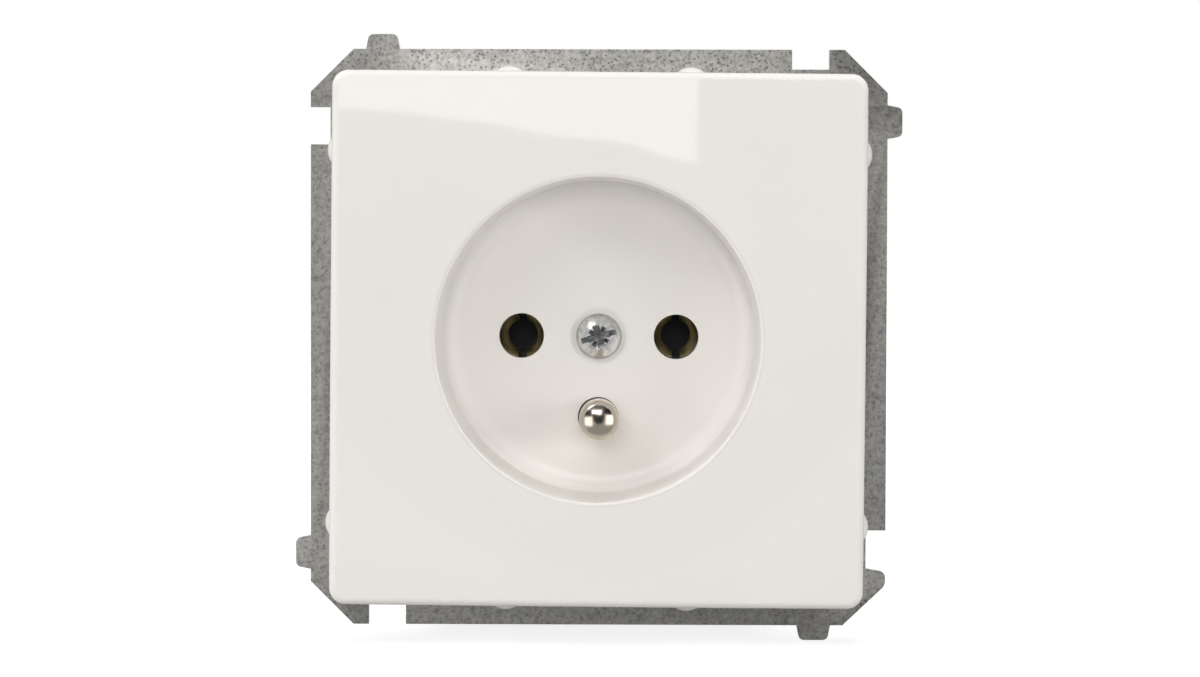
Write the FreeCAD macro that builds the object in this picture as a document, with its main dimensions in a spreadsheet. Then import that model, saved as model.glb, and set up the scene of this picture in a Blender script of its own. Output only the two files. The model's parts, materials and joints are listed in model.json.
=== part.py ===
import FreeCAD, Part
import math
import os
import re

import Sketcher

# A flush wall socket insert with an earth pin: a square moulded cover with a round
# recess stands on a pressed steel mounting strap, in front of a round moulded base.
# X runs to the right, Y runs into the wall and Z runs up. The origin is on the wall
# plane, at the middle of the strap, so everything in front of the wall has negative y.

os.makedirs("parts", exist_ok=True)
doc = FreeCAD.newDocument("WallSocket")

# Driving dimensions, in millimetres and degrees.
dimensions = {
    # standard positions of the plug's pins
    "livePitch": 19.0,
    "earthDrop": 10.0,
    # cover plate
    "coverFront": 10.5,
    "crownRadius": 1050.0,
    "coverCornerRound": 2.0,
    "coverEdgeRound": 1.0,
    "coverFace": 2.4,
    "coverWall": 1.6,
    "coverMargin": 2.6,
    "coverInnerRound": 1.0,
    "coverGap": 0.3,
    "ribWidth": 1.2,
    "ribStep": 2.3,
    "dishRim": 39.0,
    "dishTaper": 0.4,
    "dishDepth": 15.0,
    "dishWall": 1.8,
    "dishFloorRound": 2.4,
    "dishRimRound": 0.4,
    "coverFloor": 2.0,
    "liveHole": 5.5,
    "earthHole": 5.0,
    "seatHole": 6.8,
    "seatDepth": 0.25,
    "nubRadius": 2.6,
    "nubProud": 0.75,
    "nubRise": 4.2,
    "nubSpreadTop": 10.9,
    "nubInsetSide": 9.6,
    "reliefWidth": 9.4,
    "reliefDepth": 2.6,
    # mounting strap
    "strapMargin": 3.0,
    "strapSheet": 1.0,
    "strapCorner": 5.2,
    "tabInset": 8.75,
    "tabRoot": 4.1,
    "tabTip": 3.4,
    "tabReach": 1.8,
    "tabRound": 0.7,
    "notchInset": 9.35,
    "notchWidth": 4.5,
    "notchDepth": 2.4,
    "embossHeight": 0.6,
    "embossWall": 0.6,
    "boxScrewEdge": 0.3,
    "boxScrewHole": 3.8,
    "rivetEdge": 1.7,
    "rivetShank": 2.0,
    "rivetHead": 3.8,
    "rivetHeadHeight": 0.7,
    "rivetTail": 3.2,
    # moulded base and its rear cap
    "baseWall": 1.7,
    "baseDepth": 24.0,
    "baseFlange": 3.0,
    "baseFlatDepth": 0.5,
    "baseEdgeBevel": 0.8,
    "guardInset": 1.5,
    "guardSheet": 1.5,
    "chamberRadius": 4.2,
    "troughDepth": 6.0,
    "troughClearance": 0.6,
    "wireChannel": 5.0,
    "capSheet": 2.0,
    "capInset": 0.2,
    "capScrewInset": 4.6,
    "capScrewAngle": 36.25,
    "capScrewShank": 2.2,
    "capScrewHead": 4.8,
    "capScrewHeadHeight": 1.6,
    "capScrewLength": 11.0,
    # contacts
    "contactMouth": 5.4,
    "contactPinch": 3.7,
    "contactThroat": 5.0,
    "contactSheet": 0.45,
    "contactSlit": 1.0,
    "pinchShare": 0.42,
    "pinchLength": 1.4,
    "throatShare": 0.76,
    "springSection": 0.6,
    "springOpening": 60.0,
    "stripWidth": 7.4,
    "stripSheet": 1.0,
    "stripRound": 1.0,
    "terminalInset": 9.7,
    # terminals
    "clampSize": 7.0,
    "clampSheet": 1.2,
    "clampOpening": 1.6,
    "clampLip": 0.6,
    "clampLipHeight": 1.0,
    "terminalThread": 3.5,
    "terminalHead": 6.0,
    "terminalHeadHeight": 2.2,
    "terminalScrewReach": 2.0,
    "terminalSlot": 0.9,
    "terminalSlotDepth": 1.2,
    # earth pin and its bridge to the strap
    "earthPin": 4.8,
    "earthTipBehindFace": 1.0,
    "earthShank": 4.2,
    "earthCollar": 6.4,
    "earthCollarHeight": 1.5,
    "earthTail": 3.6,
    "earthTailHead": 5.2,
    "earthTailHeadHeight": 0.9,
    "earthTerminalInset": 5.2,
    "bridgeGap": 0.1,
    "bridgeTongue": 2.5,
    "bridgeBend": 1.2,
    # cover screw and its nut
    "screwThread": 3.0,
    "screwHead": 5.6,
    "screwHeadHeight": 1.9,
    "screwHeadEdge": 0.9,
    "screwBeyondNut": 3.6,
    "screwPoint": 0.6,
    "crossArm": 3.2,
    "crossWidth": 0.8,
    "crossDepth": 1.1,
    "crossTurn": 8.0,
    "nutSize": 5.5,
    "nutHeight": 2.4,
    # clearances
    "fitClearance": 0.2,
    "holeClearance": 0.4,
    "threadClearance": 0.03,
    "shankClearance": 0.05,
}

sizes = doc.addObject("Spreadsheet::Sheet", "sizes")
for row, (name, value) in enumerate(dimensions.items(), start=1):
    sizes.set(f"A{row}", name)
    sizes.set(f"B{row}", str(value))
    sizes.setAlias(f"B{row}", name)
doc.recompute()

# Places and radii that several pieces share, worked out from the driving dimensions.
derived = {
    # depths along Y
    "strapRear": "-embossHeight",
    "strapFront": "-embossHeight - strapSheet",
    "coverRear": "-strapSheet - coverGap",
    "coverInside": "coverFace - coverFront",
    "dishFloor": "dishDepth - coverFront",
    "guardFront": "dishFloor + coverFloor",
    "guardRear": "guardFront + guardSheet",
    "seatPlane": "dishFloor + seatDepth",
    "flangeRear": "strapRear + baseFlange",
    "troughFloor": "baseDepth - troughDepth",
    "stripRear": "troughFloor + stripSheet",
    "clampFront": "stripRear + clampOpening",
    "clampRear": "clampFront + clampSheet",
    "terminalScrewEnd": "troughFloor - terminalScrewReach",
    "pinchDepth": "guardRear + pinchShare * (troughFloor - guardRear)",
    "throatDepth": "guardRear + throatShare * (troughFloor - guardRear)",
    "capRear": "baseDepth + capSheet",
    "collarFront": "troughFloor - earthCollarHeight",
    "earthTip": "earthTipBehindFace - coverFront",
    "screwEnd": "guardRear + nutHeight + screwBeyondNut",
    # radii and reaches, from the recess outwards
    "dishBaseRadius": "dishRim / 2 - dishTaper",
    "tubeRadius": "dishRim / 2 + dishWall",
    "guardRadius": "tubeRadius - guardInset",
    "wellRadius": "tubeRadius + fitClearance",
    "baseRadius": "wellRadius + baseWall",
    "baseFlat": "baseRadius - baseFlatDepth",
    "rivetRadius": "baseRadius + rivetTail / 2 + holeClearance",
    "flangeRadius": "rivetRadius + rivetEdge",
    "embossInside": "flangeRadius + 1.5 * fitClearance",
    "embossReach": "embossInside + embossWall",
    "boxScrewRadius": "embossReach + boxScrewEdge + boxScrewHole / 2",
    "coverInner": "embossReach + coverMargin",
    "coverHalf": "coverInner + coverWall",
    "strapHalf": "coverHalf + strapMargin",
    # places across the part
    "troughWidth": "stripWidth + 2 * troughClearance",
    "nubReach": "coverHalf + nubProud - nubRadius",
    "nubSpreadSide": "coverHalf - nubInsetSide",
    "tabPlace": "strapHalf - tabInset",
    "notchPlace": "strapHalf - notchInset",
    "rivetAcross": "rivetRadius * sqrt(0.5)",
    "terminalRise": "baseRadius - terminalInset",
    "earthTerminalDrop": "baseRadius - earthTerminalInset",
    "capScrewSide": "(baseRadius - capScrewInset) * cos(capScrewAngle)",
    "capScrewDrop": "(baseRadius - capScrewInset) * sin(capScrewAngle)",
}

livePlaces = {"left": "(-livePitch / 2)", "right": "(livePitch / 2)"}


def bound(text):
    # Each word that names a driving dimension becomes a reference to its cell.
    def cell(word):
        name = word[0]
        if name in derived:
            return f"({bound(derived[name])})"
        return f"sizes.{name}" if name in dimensions else name

    return re.sub(r"[A-Za-z]\w*", cell, str(text))


def number(text):
    return float(sizes.evalExpression(bound(text)))


def newBody(name):
    body = doc.addObject("PartDesign::Body", name)
    body.Label = name
    return body


def sketchOn(body, role, place="0"):
    # place is the height of the sketch's plane on the world axis it is square to.
    sketch = body.newObject("Sketcher::SketchObject", f"{body.Name}_sketch")
    plane = [item for item in body.Origin.OriginFeatures if item.Role == role][0]
    sketch.AttachmentSupport = [(plane, "")]
    sketch.MapMode = "FlatFace"
    sign = "-" if role == "XZ_Plane" else ""
    sketch.setExpression("AttachmentOffset.Base.z", bound(f"{sign}({place})"))
    return sketch


def fix(sketch, kind, *where, size):
    index = sketch.addConstraint(Sketcher.Constraint(kind, *where, number(size)))
    sketch.setExpression(f"Constraints[{index}]", bound(size))


def arcBetween(start, end, radius, bulge="right"):
    # The arc bulges to the right or the left of the way from start to end.
    chord = end - start
    half = chord.Length / 2
    rise = radius - math.sqrt(max(radius**2 - half**2, 0))
    normal = FreeCAD.Vector(chord.y, -chord.x, 0).normalize()
    middle = (start + end) / 2 + normal * (rise if bulge == "right" else -rise)
    return Part.Arc(start, middle, end)


def drawOutline(sketch, corners):
    # A corner is (x, y), or (x, y, radius) where an arc leads to the next corner. The arc
    # bulges to the right of its way, or to the left where the corner ends with "left".
    places = [FreeCAD.Vector(number(corner[0]), number(corner[1]), 0) for corner in corners]
    edges = []
    for index, corner in enumerate(corners):
        here = places[index]
        there = places[(index + 1) % len(places)]
        if len(corner) == 2:
            edge = sketch.addGeometry(Part.LineSegment(here, there), False)
            edges.append((edge, 1, 2))
            continue
        arc = arcBetween(here, there, number(corner[2]), *corner[3:])
        edge = sketch.addGeometry(arc, False)
        startsHere = sketch.getPoint(edge, 1).distanceToPoint(here) < 1e-6
        edges.append((edge, 1, 2) if startsHere else (edge, 2, 1))
    for index, (edge, first, last) in enumerate(edges):
        following = edges[(index + 1) % len(edges)]
        sketch.addConstraint(Sketcher.Constraint("Coincident", edge, last, following[0], following[1]))
        fix(sketch, "DistanceX", -1, 1, edge, first, size=corners[index][0])
        fix(sketch, "DistanceY", -1, 1, edge, first, size=corners[index][1])
        if len(corners[index]) > 2:
            fix(sketch, "Radius", edge, size=corners[index][2])


def drawCircle(sketch, x, y, radius):
    centre = FreeCAD.Vector(number(x), number(y), 0)
    edge = sketch.addGeometry(Part.Circle(centre, FreeCAD.Vector(0, 0, 1), number(radius)), False)
    fix(sketch, "DistanceX", -1, 1, edge, 3, size=x)
    fix(sketch, "DistanceY", -1, 1, edge, 3, size=y)
    fix(sketch, "Radius", edge, size=radius)


def rectangle(left, bottom, right, top):
    return [(left, bottom), (right, bottom), (right, top), (left, top)]


def extrude(body, kind, sketch, length, reverse=False):
    feature = body.newObject(f"PartDesign::{kind}", f"{body.Name}_{kind.lower()}")
    feature.Profile = sketch
    feature.Reversed = reverse
    feature.setExpression("Length", bound(length))
    body.Tip = feature
    doc.recompute()
    return feature


def cutFromFront(body, sketch, length):
    return extrude(body, "Pocket", sketch, length)


def cutFromRear(body, sketch, length):
    return extrude(body, "Pocket", sketch, length, reverse=True)


def padToFront(body, sketch, length):
    return extrude(body, "Pad", sketch, length)


def turn(body, kind, corners, angle="360"):
    # A section in the XY plane is turned about the Y axis.
    sketch = sketchOn(body, "XY_Plane")
    drawOutline(sketch, corners)
    feature = body.newObject(f"PartDesign::{kind}", f"{body.Name}_{kind.lower()}")
    feature.Profile = sketch
    feature.ReferenceAxis = (sketch, ["V_Axis"])
    feature.setExpression("Angle", bound(angle))
    body.Tip = feature
    doc.recompute()
    return feature


def repeatAround(body, feature, count):
    pattern = body.newObject("PartDesign::PolarPattern", f"{body.Name}_pattern")
    pattern.Originals = [feature]
    axis = [item for item in body.Origin.OriginFeatures if item.Role == "Y_Axis"][0]
    pattern.Axis = (axis, [""])
    pattern.Angle = 360
    pattern.Occurrences = count
    body.Tip = pattern
    doc.recompute()
    return pattern


def finishEdges(body, kind, sizeName, size, wanted):
    base = body.Tip
    names = [f"Edge{n}" for n, edge in enumerate(base.Shape.Edges, start=1)
             if not edge.Degenerated and wanted(edge)]
    feature = body.newObject(f"PartDesign::{kind}", f"{body.Name}_{kind.lower()}")
    feature.Base = (base, names)
    feature.setExpression(sizeName, bound(size))
    body.Tip = feature
    doc.recompute()
    return feature


def roundEdges(body, radius, wanted):
    return finishEdges(body, "Fillet", "Radius", radius, wanted)


def bevelEdges(body, width, wanted):
    return finishEdges(body, "Chamfer", "Size", width, wanted)


def isLineAlong(edge, axis):
    if not isinstance(edge.Curve, Part.Line):
        return False
    return abs(edge.Curve.Direction.dot(axis)) > 0.999


def isCircle(edge, radius, depth):
    # A full circle round the Y axis, near this radius and this depth.
    if not isinstance(edge.Curve, Part.Circle):
        return False
    centre = edge.Curve.Center
    onAxis = math.hypot(centre.x, centre.z) < 0.01
    return onAxis and abs(edge.Curve.Radius - radius) < 0.3 and abs(centre.y - depth) < 0.4


def turned(points, quarter):
    # The points turned clockwise by this many quarter turns, as seen from the front.
    for _ in range(quarter):
        points = [(y, f"-({x})") for x, y in points]
    return points


def cutCircles(body, plane, circles, length):
    sketch = sketchOn(body, "XZ_Plane", plane)
    for x, z, radius in circles:
        drawCircle(sketch, x, z, radius)
    return cutFromFront(body, sketch, length)


def crownSag(radius):
    return f"(crownRadius - sqrt(crownRadius^2 - {radius}^2))"


def coverNubs(body):
    # Round nubs on the side walls, which a frame would snap over, two on each side.
    places = []
    for side in ("", "-"):
        for end in ("", "-"):
            places.append((f"{end}nubSpreadTop", f"{side}nubReach"))
            places.append((f"{side}nubReach", f"{end}nubSpreadSide"))
    for x, z in places:
        nub = body.newObject("PartDesign::AdditiveSphere", "cover_nub")
        nub.setExpression("Radius", bound("nubRadius"))
        nub.setExpression("Placement.Base.x", bound(x))
        nub.setExpression("Placement.Base.y", bound("coverRear - nubRise"))
        nub.setExpression("Placement.Base.z", bound(z))
        body.Tip = nub


def coverRibs(body):
    # Four ribs stiffen the face from the recess out to the corners.
    rib = sketchOn(body, "XZ_Plane", "coverRear - ribStep")
    near = "((tubeRadius - dishWall / 2) * sqrt(0.5))"
    far = "coverInner"
    across = "(ribWidth / 2 * sqrt(0.5))"
    drawOutline(rib, [
        (f"{near} + {across}", f"{near} - {across}"),
        (f"{far} + {across}", f"{far} - {across}"),
        (f"{far} - {across}", f"{far} + {across}"),
        (f"{near} - {across}", f"{near} + {across}"),
    ])
    repeatAround(body, padToFront(body, rib, "coverRear - ribStep - coverInside + coverFace / 4"), 4)


def coverTurnedFront(body):
    # One turned cut leaves a very slightly domed face round a tapered recess, whose floor
    # reaches back to the base.
    rim = "dishRim / 2"
    rimFront = f"({crownSag('(dishRim / 2 + dishRimRound)')} - coverFront)"
    far = "(1.5 * coverHalf)"
    beyond = "(-1.2 * coverFront)"
    turn(body, "Groove", [
        (f"{rim} + dishRimRound", rimFront, "crownRadius"),
        (far, f"{crownSag(far)} - coverFront"),
        (far, beyond),
        ("0", beyond),
        ("0", "dishFloor"),
        ("dishBaseRadius - dishFloorRound", "dishFloor", "dishFloorRound", "left"),
        ("dishBaseRadius", "dishFloor - dishFloorRound"),
        (rim, f"{rimFront} + dishRimRound", "dishRimRound"),
    ])


def coverHoles(body):
    cutCircles(body, "dishFloor - 1", [("0", "0", "seatHole / 2")], "1 + seatDepth")
    circles = [(x, "0", "liveHole / 2") for x in livePlaces.values()]
    circles.append(("0", "-earthDrop", "earthHole / 2"))
    circles.append(("0", "0", "(screwThread + holeClearance) / 2"))
    cutCircles(body, "dishFloor - 1", circles, "2 + coverFloor")


def coverPlate():
    body = newBody("cover_plate")
    half = "coverHalf"
    slab = sketchOn(body, "XZ_Plane", "coverRear")
    drawOutline(slab, rectangle(f"-{half}", f"-{half}", half, half))
    padToFront(body, slab, "coverFront + coverRear")
    tube = sketchOn(body, "XZ_Plane", "guardFront")
    drawCircle(tube, "0", "0", "tubeRadius")
    padToFront(body, tube, "guardFront - coverInside")
    roundEdges(body, "coverCornerRound", lambda edge: isLineAlong(edge, FreeCAD.Vector(0, 1, 0))
               and max(abs(edge.Vertexes[0].X), abs(edge.Vertexes[0].Z)) > number(half) - 0.01)
    coverTurnedFront(body)
    frontEdge = number("coverHalf - coverCornerRound") - 0.01
    wallFront = number("coverEdgeRound - coverFront") + 1.0

    def roundTheFace(edge):
        reach = min(max(abs(vertex.X), abs(vertex.Z)) for vertex in edge.Vertexes)
        return reach > frontEdge and edge.BoundBox.YMax < wallFront

    roundEdges(body, "coverEdgeRound", roundTheFace)
    coverNubs(body)
    inner = "coverInner"
    cavity = sketchOn(body, "XZ_Plane", "coverRear")
    drawOutline(cavity, rectangle(f"-{inner}", f"-{inner}", inner, inner))
    drawCircle(cavity, "0", "0", "tubeRadius")
    cutFromRear(body, cavity, "coverRear - coverInside")
    roundEdges(body, "coverInnerRound", lambda edge: isLineAlong(edge, FreeCAD.Vector(0, 1, 0))
               and abs(abs(edge.Vertexes[0].X) - number(inner)) < 0.01
               and abs(abs(edge.Vertexes[0].Z) - number(inner)) < 0.01)
    # The rear edges of the walls are relieved where they pass over the box screws' heads.
    relief = sketchOn(body, "XZ_Plane", "coverRear")
    for quarter in range(4):
        corners = rectangle("-reliefWidth / 2", f"{inner} - 1", "reliefWidth / 2", f"{half} + 1")
        drawOutline(relief, turned(corners, quarter))
    cutFromRear(body, relief, "reliefDepth")
    coverRibs(body)
    coverHoles(body)
    return body


def coverScrew():
    body = newBody("cover_screw")
    head = "(seatPlane - screwHeadHeight)"
    dome = "(screwHeadHeight - screwHeadEdge)"
    turn(body, "Revolution", [
        ("0", head, f"(screwHead^2 / 4 + {dome}^2) / (2 * {dome})"),
        ("screwHead / 2", "seatPlane - screwHeadEdge"),
        ("screwHead / 2", "seatPlane"),
        ("screwThread / 2", "seatPlane"),
        ("screwThread / 2", "screwEnd - screwPoint"),
        ("screwThread / 2 - screwPoint", "screwEnd"),
        ("0", "screwEnd"),
    ])
    cross = sketchOn(body, "XZ_Plane", f"{head} - 0.5")
    corners = []
    for quarter in range(4):
        arm = [("-crossWidth / 2", "crossArm / 2"), ("crossWidth / 2", "crossArm / 2"),
               ("crossWidth / 2", "crossWidth / 2")]
        corners += turned(arm, quarter)
    leaned = [(f"({x}) * cos(crossTurn) - ({z}) * sin(crossTurn)",
               f"({x}) * sin(crossTurn) + ({z}) * cos(crossTurn)") for x, z in corners]
    drawOutline(cross, leaned)
    cutFromFront(body, cross, "0.5 + crossDepth")
    return body


def coverNut():
    body = newBody("cover_nut")
    sketch = sketchOn(body, "XZ_Plane", "guardRear + nutHeight")
    half = "nutSize / 2"
    drawOutline(sketch, rectangle(f"-{half}", f"-{half}", half, half))
    drawCircle(sketch, "0", "0", "screwThread / 2 + threadClearance")
    padToFront(body, sketch, "nutHeight")
    return body


def mountingStrap():
    body = newBody("mounting_strap")
    plate = sketchOn(body, "XZ_Plane")
    corners = []
    for quarter in range(4):
        side = [("strapCorner - strapHalf", "strapHalf"),
                ("strapHalf - strapCorner", "strapHalf")]
        corners += turned(side, quarter)
    drawOutline(plate, corners)
    padToFront(body, plate, "strapSheet")
    strapTabs(body)
    strapNotches(body)
    strapEmboss(body)
    opening = "(wellRadius + fitClearance)"
    cutCircles(body, "strapFront - 1", [("0", "0", opening)], "3 * strapSheet + embossHeight")
    boxHole = cutCircles(body, "strapFront - 1",
                         [("0", "boxScrewRadius", "boxScrewHole / 2")], "3 * strapSheet + embossHeight")
    repeatAround(body, boxHole, 4)
    rivetHole = cutCircles(body, "strapFront - 1", [rivetPlace()], "3 * strapSheet + embossHeight")
    repeatAround(body, rivetHole, 4)
    return body


def rivetPlace():
    return "rivetAcross", "rivetAcross", "rivetShank / 2 + shankClearance"


def strapTabs(body):
    # One tab stands out near an end of each side, always on the same hand.
    tab = sketchOn(body, "XZ_Plane")
    edge = "strapHalf"
    drawOutline(tab, [
        ("-tabPlace - tabRoot / 2", f"{edge} - tabReach"),
        ("-tabPlace + tabRoot / 2", f"{edge} - tabReach"),
        ("-tabPlace + tabRoot / 2", edge),
        ("-tabPlace + tabTip / 2", f"{edge} + tabReach"),
        ("-tabPlace - tabTip / 2", f"{edge} + tabReach"),
        ("-tabPlace - tabRoot / 2", edge),
    ])
    repeatAround(body, padToFront(body, tab, "strapSheet"), 4)
    tip = number("strapHalf + tabReach") - 0.01

    def atTip(edge):
        point = edge.Vertexes[0].Point
        return isLineAlong(edge, FreeCAD.Vector(0, 1, 0)) and max(abs(point.x), abs(point.z)) > tip

    roundEdges(body, "tabRound", atTip)


def strapNotches(body):
    # A square notch at the other end of each side takes the neighbouring strap's tab.
    notch = sketchOn(body, "XZ_Plane", "-strapSheet")
    edge = "strapHalf"
    drawOutline(notch, rectangle("notchPlace - notchWidth / 2", f"{edge} - notchDepth",
                                 "notchPlace + notchWidth / 2", f"{edge} + notchDepth"))
    repeatAround(body, cutFromFront(body, notch, "2 * strapSheet"), 4)


def strapEmboss(body):
    # The middle is pressed forward, which leaves a shallow seat for the base at the rear.
    raised = sketchOn(body, "XZ_Plane", "-strapSheet / 2")
    drawCircle(raised, "0", "0", "embossReach")
    padToFront(body, raised, "strapSheet / 2 + embossHeight")
    hollow = sketchOn(body, "XZ_Plane", "strapSheet")
    drawCircle(hollow, "0", "0", "embossInside")
    cutFromRear(body, hollow, "strapSheet + embossHeight")


def contactGuard():
    # An insulating disc keeps the contacts in their chambers while the cover is off.
    body = newBody("contact_guard")
    sketch = sketchOn(body, "XZ_Plane", "guardRear")
    drawCircle(sketch, "0", "0", "guardRadius")
    for x in livePlaces.values():
        drawCircle(sketch, x, "0", "liveHole / 2")
    drawCircle(sketch, "0", "-earthDrop", "earthHole / 2")
    drawCircle(sketch, "0", "0", "(screwThread + holeClearance) / 2")
    padToFront(body, sketch, "guardSheet")
    return body


def cutTrough(body, left, bottom, right, top):
    sketch = sketchOn(body, "XZ_Plane", "troughFloor")
    drawOutline(sketch, rectangle(left, bottom, right, top))
    cutFromFront(body, sketch, "baseDepth")


def socketBase():
    body = newBody("socket_base")
    turn(body, "Revolution", [
        ("0", "guardRear"),
        ("guardRadius + fitClearance", "guardRear"),
        ("guardRadius + fitClearance", "guardFront"),
        ("wellRadius", "guardFront"),
        ("wellRadius", "strapRear"),
        ("flangeRadius", "strapRear"),
        ("flangeRadius", "flangeRear"),
        ("baseRadius", "flangeRear"),
        ("baseRadius", "baseDepth"),
        ("0", "baseDepth"),
    ])
    outer = number("baseRadius")
    deep = number("baseDepth")
    bevelEdges(body, "baseEdgeBevel", lambda edge: isCircle(edge, outer, deep))
    for side in ("", "-"):
        flat = sketchOn(body, "XZ_Plane", "flangeRear")
        near = f"{side}baseFlat"
        far = f"{side}(baseRadius + 1)"
        drawOutline(flat, rectangle(near, "-baseRadius", far, "baseRadius"))
        cutFromFront(body, flat, "baseDepth")
    chambers = [(x, "0", "chamberRadius") for x in livePlaces.values()]
    cutCircles(body, "guardRear - 1", chambers, "1 + troughFloor - guardRear")
    for x in livePlaces.values():
        cutTrough(body, f"{x} - troughWidth / 2", "-troughWidth / 2",
                  f"{x} + troughWidth / 2", "2 * baseRadius")
    cutTrough(body, "-troughWidth / 2", "-2 * baseRadius", "troughWidth / 2",
              "troughWidth / 2 - earthDrop")
    cutTrough(body, "-2 * baseRadius", "-earthTerminalDrop - wireChannel / 2",
              "-troughWidth / 4", "-earthTerminalDrop + wireChannel / 2")
    baseBores(body)
    notch = sketchOn(body, "XZ_Plane", "strapRear - 1")
    drawOutline(notch, rectangle("-troughWidth / 2", "-2 * flangeRadius", "troughWidth / 2",
                                 "-baseRadius - bridgeGap / 2"))
    cutFromFront(body, notch, "1 + baseFlange + strapSheet")
    return body


def baseBores(body):
    relief = "(terminalThread / 2 + fitClearance)"
    terminals = [(x, "terminalRise", relief) for x in livePlaces.values()]
    terminals.append(("0", "-earthTerminalDrop", relief))
    cutCircles(body, "terminalScrewEnd - holeClearance", terminals, "troughFloor")
    cutCircles(body, "guardRear - 1", [("0", "-earthDrop", "earthShank / 2 + shankClearance")],
               "troughFloor")
    cutCircles(body, "collarFront", [("0", "-earthDrop", "earthCollar / 2 + fitClearance / 2")],
               "troughFloor")
    nutPocket = sketchOn(body, "XZ_Plane", "guardRear - 1")
    half = "(nutSize / 2 + fitClearance / 2)"
    drawOutline(nutPocket, rectangle(f"-{half}", f"-{half}", half, half))
    cutFromFront(body, nutPocket, "1 + nutHeight")
    cutCircles(body, "guardRear - 1", [("0", "0", "(screwThread + holeClearance) / 2")],
               "screwEnd - guardRear + 2")
    capHoles = [(f"{side}capScrewSide", "-capScrewDrop", "capScrewShank / 2 + threadClearance")
                for side in ("", "-")]
    cutCircles(body, "capRear - capScrewLength - 0.5", capHoles, "baseDepth")
    rivetHole = cutCircles(body, "strapRear - 1", [rivetPlace()], "1 + baseFlange + strapSheet")
    repeatAround(body, rivetHole, 4)


def rearCap():
    body = newBody("rear_cap")
    sketch = sketchOn(body, "XZ_Plane", "capRear")
    drawCircle(sketch, "0", "0", "baseRadius - capInset")
    padToFront(body, sketch, "capSheet")
    rim = number("baseRadius - capInset")
    rear = number("capRear")
    bevelEdges(body, "baseEdgeBevel", lambda edge: isCircle(edge, rim, rear))
    for side in ("", "-"):
        flat = sketchOn(body, "XZ_Plane", "baseDepth - 1")
        drawOutline(flat, rectangle(f"{side}(baseFlat - capInset)", "-baseRadius",
                                    f"{side}(baseRadius + 1)", "baseRadius"))
        cutFromFront(body, flat, "2 * capSheet + 1")
    access = "(terminalHead / 2 + fitClearance)"
    circles = [(x, "terminalRise", access) for x in livePlaces.values()]
    circles.append(("0", "-earthTerminalDrop", access))
    for side in ("", "-"):
        circles.append((f"{side}capScrewSide", "-capScrewDrop", "capScrewShank / 2 + fitClearance"))
    cutCircles(body, "baseDepth - 1", circles, "2 * capSheet + 1")
    return body


def capScrews():
    body = newBody("cap_screws")
    body.AllowCompound = True
    for side in ("", "-"):
        layers = [("capRear", "capScrewHead / 2", "capScrewHeadHeight", True),
                  ("capRear", "capScrewShank / 2", "capScrewLength", False)]
        for plane, radius, length, backward in layers:
            sketch = sketchOn(body, "XZ_Plane", plane)
            drawCircle(sketch, f"{side}capScrewSide", "-capScrewDrop", radius)
            extrude(body, "Pad", sketch, length, reverse=backward)
    slots = sketchOn(body, "XZ_Plane", "capRear + capScrewHeadHeight / 2")
    for side in ("", "-"):
        centre = f"{side}capScrewSide"
        drawOutline(slots, rectangle(f"{centre} - capScrewHead", "-capScrewDrop - terminalSlot / 2",
                                     f"{centre} + capScrewHead", "-capScrewDrop + terminalSlot / 2"))
    cutFromFront(body, slots, "capScrewHeadHeight")
    return body


def contactSleeve(side):
    # A brass sleeve with a flared mouth and a pinched waist, slit into two leaves that
    # stand left and right of the plug's pin, on a strip that runs up to the terminal.
    body = newBody(f"contact_{side}")
    pinchFront = "(pinchDepth - pinchLength / 2)"
    pinchRear = "(pinchDepth + pinchLength / 2)"
    mouthFront = "(guardRear + holeClearance)"
    turn(body, "Revolution", [
        ("contactMouth / 2", mouthFront),
        ("contactPinch / 2", pinchFront),
        ("contactPinch / 2", pinchRear),
        ("contactThroat / 2", "throatDepth"),
        ("contactThroat / 2", "stripRear"),
        ("contactThroat / 2 + contactSheet", "stripRear"),
        ("contactThroat / 2 + contactSheet", "throatDepth"),
        ("contactPinch / 2 + contactSheet", pinchRear),
        ("contactPinch / 2 + contactSheet", pinchFront),
        ("contactMouth / 2 + contactSheet", mouthFront),
    ])
    strip = sketchOn(body, "XZ_Plane", "stripRear")
    drawOutline(strip, rectangle("-stripWidth / 2", "-stripWidth / 2", "stripWidth / 2",
                                 "terminalRise + stripWidth / 2"))
    drawCircle(strip, "0", "0", "contactThroat / 2")
    drawCircle(strip, "0", "terminalRise", "terminalThread / 2 + threadClearance")
    padToFront(body, strip, "stripSheet")
    corner = number("stripWidth / 2")
    roundEdges(body, "stripRound", lambda edge: isLineAlong(edge, FreeCAD.Vector(0, 1, 0))
               and abs(abs(edge.Vertexes[0].X) - corner) < 0.01)
    slit = sketchOn(body, "XY_Plane", "-contactMouth")
    drawOutline(slit, rectangle("-contactSlit / 2", "guardRear - 1", "contactSlit / 2", "throatDepth"))
    extrude(body, "Pocket", slit, "2 * contactMouth", reverse=True)
    body.setExpression("Placement.Base.x", bound(livePlaces[side]))
    return body


def contactSpring(side):
    # An open steel ring squeezes the leaves together at the waist.
    body = newBody(f"contact_spring_{side}")
    inner = "(contactPinch / 2 + contactSheet + threadClearance)"
    turn(body, "Revolution", rectangle(inner, "pinchDepth - springSection / 2",
                                       f"{inner} + springSection", "pinchDepth + springSection / 2"),
         "360 - springOpening")
    body.setExpression("Placement.Base.x", bound(livePlaces[side]))
    return body


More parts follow.
